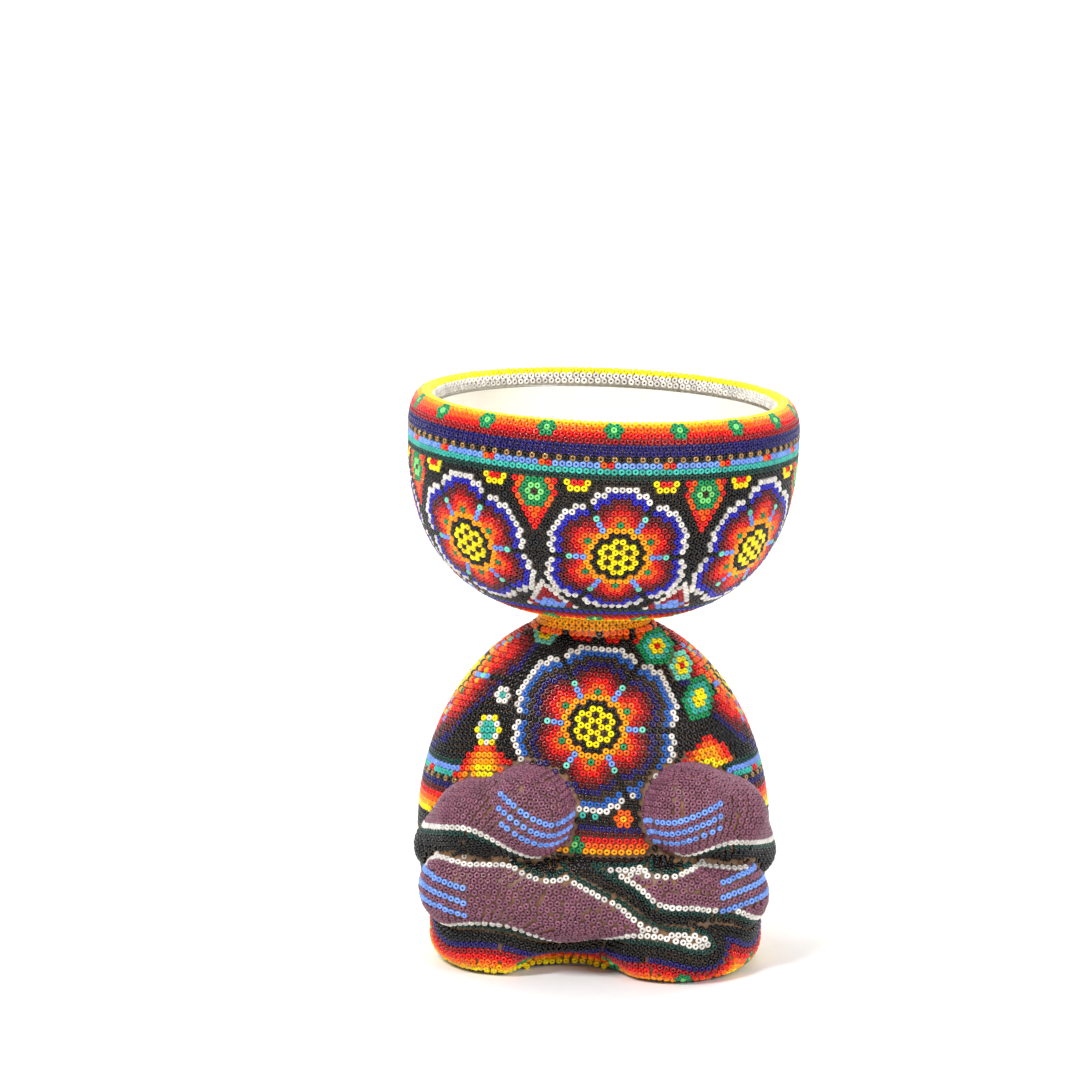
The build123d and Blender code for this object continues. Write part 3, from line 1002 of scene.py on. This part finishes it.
def trunk_node(point):
    """CAD node that a bead of the trunk belongs to."""
    x, y, z = point
    radius = math.hypot(x, z - CHEST_Z)
    if z >= COLLAR_Z:
        return "neck_collar_beads"
    if radius < CHEST_REACH and y < TRUNK_CENTRE[1]:
        return "chest_medallion_beads"
    if radius < CHEST_REACH:
        return "back_medallion_beads"
    side = "left" if x < 0 else "right"
    if abs(x) > SLEEVE_X and CUFF_LOW <= z < CUFF_HIGH:
        return f"cuff_{side}_beads"
    if abs(x) > SLEEVE_X and z >= CUFF_HIGH:
        return f"sleeve_{side}_beads"
    if z < SEAT_Z:
        return "seat_beads"
    return "chest_ground_beads" if y < 0 else "back_ground_beads"


# ---------------------------------------------------------------- body beads

# Rows round the joint under the bowl: half widths across and front to back, height, letters
NECK_Y, NECK_LIFT = 0.8, 0.35
NECK_ROWS = [(19.4, 16.6, 107.4, "OOOOK"), (17.6, 16.4, 109.0, "D"), (16.8, 16.2, 110.8, "D")]

# Letters of the limbs' rows, counted from a crease, or on the hands from their lower edge
HAND_ROWS = {0: "W", -1: "E"}
LEG_ROWS = {"leg_left": "KEW", "leg_right": "KKEW"}
BASE_ROWS = "KKNCRODYYY"
BASE_FLOWER_ROW, BASE_FLOWER_STEP, BASE_FLOWER_REACH = 5, 26, 2.9
# Groups whose borders each limb's rows start from, in the order that the limbs are covered
NEIGHBOURS = {1: [3, 4, 5], 2: [3, 4, 5], 3: [0, 1, 2, 4, 5], 4: [0, 1, 2, 3, 5], 5: [0, 1, 2, 3, 4]}
# Lower edge of each hand: x of its hump, x of its trough, middle height, half its swing
HAND_EDGES = {"hand_left": (-43.0, -15.0, 44.4, 4.9), "hand_right": (44.0, 23.0, 42.1, 2.4)}
WAVE = (-0.75, 1.1)     # how much of the wave is used, in half waves from the hump
FINGER_ROWS = (4, 6, 8)
FINGER_STARTS = {"hand_left": -31.0, "hand_right": 41.0}
# White line on top of each leg: the hand whose edge it follows, how far under, x where it turns up
LEG_TOPS = {"leg_left": ("hand_left", 5.7, -9.0), "leg_right": ("hand_right", 4.3, 16.0)}
# Toe lines: x where they start, slope, height of the top one there, fall from one to the next
TOE_LINES = {"leg_left": (-41.5, -0.3, 29.9, 4.7), "leg_right": (41.0, 0.25, 32.0, 4.7)}
TOE_BACK = -8.0         # y where they end, round the outer end of the foot
SEAT_GAP = 2.5          # base beads further than this from both knees are on the seat


def limb_letter(name, row, point):
    """Letter of a limb's bead; beads of the toe lines carry theirs instead of a row."""
    if isinstance(row, str):
        return row
    if name == "base":
        return BASE_ROWS[row] if row < len(BASE_ROWS) else "H"
    if name in LEG_ROWS:
        if row < 0:
            return "K"
        return LEG_ROWS[name][row] if row < len(LEG_ROWS[name]) else "V"
    if row <= 0:
        return HAND_ROWS.get(row, "K")
    start = FINGER_STARTS[name]
    fingers = point[0] > start if name == "hand_left" else point[0] < start
    return "P" if fingers and row in FINGER_ROWS else "V"


def limb_node(name, point):
    """CAD node that a bead of a limb or the base belongs to."""
    if name != "base":
        return f"{name}_beads"
    shares = [abs(knee(np.array([point]), *spot)[0]) for spot in KNEES]
    if min(shares) > SEAT_GAP:
        return "seat_beads"
    return "knee_left_beads" if shares[0] < shares[1] else "knee_right_beads"


def place_row(steps, group, row, crowd, placed):
    """Set beads along a line, each as soon as there is room for it."""
    for point in steps:
        if point[2] > FLOOR_LEVEL and crowd.clear(point, group, ROW_ROOM):
            crowd.add(point, group)
            placed.append((point, GROUPS[group], row))


def hand_edge(name, x):
    """Height of the white line that bounds a hand from below."""
    hump, trough, middle, swing = HAND_EDGES[name]
    phase = np.clip((x - hump) / (trough - hump), *WAVE)
    return middle + swing * np.cos(math.pi * phase)


def group_field(points, triangles, shares, group, near):
    """Row field of one group, and the line its row 0 starts from."""
    name = GROUPS[group]
    height = points[:, 2]
    if name in HAND_EDGES:
        above = height - hand_edge(name, points[:, 0])
        seeds = line_points(points, triangles, above, FINE_STEP)
        field = rows_field(points, triangles, seeds, near) * np.where(above > 0, 1, -1)
        return field, seeds[group_distances(seeds).argmin(axis=0) == group]
    hand, drop, end = LEG_TOPS.get(name, ("", 0.0, 0.0))
    others = [other for other in NEIGHBOURS[group] if GROUPS[other] != hand]
    seeds = settle(creases(points, triangles, shares, group, others), 0.0)
    field = rows_field(points, triangles, seeds, near)
    if hand:
        outwards = (points[:, 0] - end) * math.copysign(1, end)
        above = np.minimum(height - hand_edge(hand, points[:, 0]) + drop, outwards)
        line = line_points(points, triangles, above, CREASE_STEP)
        away = rows_field(points, triangles, line, near)
        edge = (len(LEG_ROWS[name]) - 1) * ROW
        field = np.where(above > 0, edge - away, np.minimum(field, edge + away))
        border = settle(creases(points, triangles, shares, group, [GROUPS.index(hand)]), 0.0)
        field = np.minimum(field, edge - ROW + rows_field(points, triangles, border, near))
    return field, seeds


def toe_lines(points, triangles, group, crowd, placed):
    """Straight lines across the end of a foot, pale ones with plain ones between them."""
    start, slope, top, fall = TOE_LINES[GROUPS[group]]
    level = points[:, 2] - slope * (points[:, 0] - start)
    for step, letter in enumerate("PVPVP"):
        steps = line_points(points, triangles, level - top + step * fall / 2, FINE_STEP)
        beyond = (steps[:, 0] - start) * math.copysign(1, start) > 0
        own = group_distances(steps).argmin(axis=0) == group
        ahead = steps[:, 1] < TOE_BACK
        place_row(steps[beyond & own & ahead], group, letter, crowd, placed)


def limb_rows(points, triangles, crowd):
    """Rows of beads that follow the creases on the hands, the legs and the base."""
    shares = group_distances(points)
    placed = []
    for group in NEIGHBOURS:
        near = shares[group] - shares.min(axis=0) < NEAR_BORDER
        mine = triangles[near[triangles].all(axis=1)]
        if GROUPS[group] in TOE_LINES:
            toe_lines(points, mine, group, crowd, placed)
        field, seeds = group_field(points, mine, shares, group, near)
        place_row(seeds, group, 0, crowd, placed)
        last = math.ceil(np.abs(field[near]).max() / ROW)
        for row in sorted(range(-last, last), key=abs):
            for chain in iso_lines(points, mine, field, row * ROW):
                if len(chain) > 1:
                    steps = walk(chain, FINE_STEP)
                    owners = group_distances(steps).argmin(axis=0)
                    place_row(steps[owners == group], group, row, crowd, placed)
    return placed


def swirled(spots):
    """Turn the chest flower a few degrees in its own plane, fading out beyond its edge."""
    x, z = spots[:, 0], spots[:, 2] - CHEST_Z
    reach = np.hypot(x, z)
    angle = CHEST_TILT * np.clip((SWIRL_END - reach) / (SWIRL_END - SWIRL_START), 0, 1)
    angle = np.where(spots[:, 1] < TRUNK_CENTRE[1], angle, 0.0)
    turned = spots.copy()
    turned[:, 0] = x * np.cos(angle) + z * np.sin(angle)
    turned[:, 2] = z * np.cos(angle) - x * np.sin(angle) + CHEST_Z
    return turned


def trunk_rows(crowd):
    """Level rows of the trunk, with its flowers."""
    rows = []
    for row in range(TRUNK_TOP_ROW, TRUNK_LAST_ROW + 1):
        height, arcs, x, y = trunk_ring(row)
        length = arcs[-1]
        ground = trunk_ground(row, length)
        for arc, letter in fill_row(length, row, trunk_motifs(length), ground):
            rows.append(((np.interp(arc, arcs, x), np.interp(arc, arcs, y), height), letter))
    spots = settle(swirled(np.array([spot for spot, _ in rows])), 0.0)
    owners = group_distances(spots).argmin(axis=0)
    placed = []
    for spot, (_, letter), owner in zip(spots, rows, owners):
        low = spot[2] < TOP_LEVEL - TRUNK_MARGIN
        if owner == 0 and low and crowd.clear(spot, 0, TRUNK_ROOM):
            crowd.add(spot, 0)
            placed.append((spot, "trunk", letter))
    return placed


def fill_holes(points, faces, placed, crowd):
    """Beads in what the rows leave bare, each like its nearest neighbour."""
    extra = settle(np.concatenate([points, points[faces].mean(axis=1)]), 0.0)
    owners = group_distances(extra).argmin(axis=0)
    near, mine = {}, {}
    for group, name in enumerate(GROUPS):
        own = [(spot, kind) for spot, owner, kind in placed if owner == name]
        near[group] = tree_of([spot for spot, _ in own])
        mine[group] = [kind for _, kind in own]
    added = []
    for spot, owner in zip(extra, owners):
        between = FLOOR_LEVEL < spot[2] < TOP_LEVEL - HOLE_MARGIN
        if between and crowd.clear(spot, owner, HOLE_ROOM):
            crowd.add(spot, owner)
            kind = mine[owner][near[owner].find(spot)[1]]
            added.append((spot, GROUPS[owner], "V" if kind == "P" and owner else kind))
    return added


def body_beads(beads, points, faces):
    """Rows on the limbs and the trunk, then beads in the holes, nudged apart."""
    triangles = np.concatenate([faces[:, [0, 1, 2]], faces[:, [0, 2, 3]]])
    crowd = Crowd()
    placed = limb_rows(points, triangles, crowd)
    placed += trunk_rows(crowd)
    regular = sum(name == "trunk" for _, name, _ in placed)
    fixed = set(range(len(placed) - regular, len(placed)))
    placed += fill_holes(points, faces, placed, crowd)
    moving = np.array([i for i in range(len(placed)) if i not in fixed])
    surface = relaxed([spot for spot, _, _ in placed], moving)
    placed = [(spot, name, kind) for spot, (_, name, kind) in zip(surface, placed)]
    normals = gradient(surface)
    centres = settle(surface, -BEAD_DEPTH)
    letters = [kind if name == "trunk" else limb_letter(name, kind, spot)
               for spot, name, kind in placed]
    flowers_on_base(placed, surface, letters)
    for centre, normal, (spot, name, _), letter in zip(centres, normals, placed, letters):
        node = trunk_node(spot) if name == "trunk" else limb_node(name, spot)
        beads.setdefault(node, []).append((centre, normal, letter))


def flowers_on_base(placed, surface, letters):
    """Small green flowers at even steps along the base band."""
    tree = tree_of(surface)
    centres = []
    for i, (spot, name, row) in enumerate(placed):
        if name != "base" or row != BASE_FLOWER_ROW:
            continue
        if all(square_gap(spot, other) > BASE_FLOWER_STEP ** 2 for other in centres):
            centres.append(spot)
            for _, index, gap in tree.find_n(spot, 7):
                if gap < BASE_FLOWER_REACH:
                    letters[index] = "G"
            letters[i] = "g"


def neck_beads(beads):
    """Oval rows of beads round the joint under the bowl."""
    for row, (half_x, half_y, height, letters) in enumerate(NECK_ROWS):
        turn = np.linspace(0, 2 * math.pi, 361)
        x, y = half_x * np.cos(turn), half_y * np.sin(turn)
        arcs = arc_lengths(x, y)
        count = round(arcs[-1] / PITCH)
        for i in range(count):
            arc = (i + 0.5 * (row % 2)) * arcs[-1] / count
            angle = np.interp(arc, arcs, turn)
            c, s = math.cos(angle), math.sin(angle)
            normal = tuple(Vector((c, s, NECK_LIFT)).normalized())
            centre = (half_x * c, half_y * s + NECK_Y, height)
            bead = (centre, normal, letters[i % len(letters)])
            beads.setdefault("neck_ring_beads", []).append(bead)


# ---------------------------------------------------------------- build

beads = {}
bowl_beads(beads)
neck_beads(beads)
net_points, net_faces = surface_net(GRID)
net_points = settle(net_points, 0.0)
body_beads(beads, net_points, net_faces)
place_beads(beads)
bowl_wax()
body_wax(net_points, net_faces)
CARRIED_OVER = {"bowl_casting": "white_glaze", "body_casting": "bisque_ceramic", "neck_putty": "putty"}
for node, name in CARRIED_OVER.items():
    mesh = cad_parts[node].data
    mesh.materials.clear()
    mesh.materials.append(mottled(name))


# ---------------------------------------------------------------- studio

FLOOR_FRONT, FLOOR_BACK, FLOOR_HALF = -2600.0, 1500.0, 4000.0
SWEEP, SWEEP_STEPS, WALL_TOP = 900, 12, 3600.0
# Soft boxes: name, place, aim, size (m) and power (W)
LIGHTS = [
    ("key", (-0.7, -0.9, 1.25), (0, 0, 0.09), (0.4, 0.4), 22.0),
    ("fill", (1.0, -1.1, 0.8), (0, 0, 0.09), (0.5, 0.5), 13.0),
    ("top", (0.0, 0.2, 1.5), (0, 0, 0.1), (0.8, 0.8), 9.0),
    ("backdrop", (0.0, 1.2, 1.6), (0, 2.4, 0.9), (2.4, 0.8), 45.0),
    ("back_left", (-1.1, 0.9, 0.9), (0, 0, 0.09), (0.6, 0.9), 6.0),
    ("back_right", (1.1, 0.9, 0.9), (0, 0, 0.09), (0.6, 0.9), 6.0),
]


def floor():
    """Pale seamless floor that curves up far behind the figure."""
    profile = [(FLOOR_FRONT, 0.0), (FLOOR_BACK, 0.0)]
    for i in range(1, SWEEP_STEPS + 1):
        turn = math.pi / 2 * i / SWEEP_STEPS
        profile.append((FLOOR_BACK + SWEEP * math.sin(turn), SWEEP - SWEEP * math.cos(turn)))
    profile.append((FLOOR_BACK + SWEEP, WALL_TOP))
    points = [(x, y, z) for y, z in profile for x in (-FLOOR_HALF, FLOOR_HALF)]
    faces = [(2 * i, 2 * i + 1, 2 * i + 3, 2 * i + 2) for i in range(len(profile) - 1)]
    mesh_object("floor", points, faces, [mottled("floor_paint")])


def area_light(name, place, aim, size, power):
    data = bpy.data.lights.new(name, "AREA")
    data.shape = "RECTANGLE"
    data.size, data.size_y = size
    data.energy = power
    light = bpy.data.objects.new(name, data)
    light.location = place
    direction = Vector(aim) - Vector(place)
    light.rotation_euler = direction.to_track_quat("-Z", "Y").to_euler()
    bpy.context.scene.collection.objects.link(light)


floor()
for settings in LIGHTS:
    area_light(*settings)
world = bpy.data.worlds.new("studio")
world.use_nodes = True
world.node_tree.nodes["Background"].inputs["Color"].default_value = (0.92, 0.93, 0.95, 1)
world.node_tree.nodes["Background"].inputs["Strength"].default_value = 0.45
bpy.context.scene.world = world
bpy.context.scene.view_settings.view_transform = "Standard"
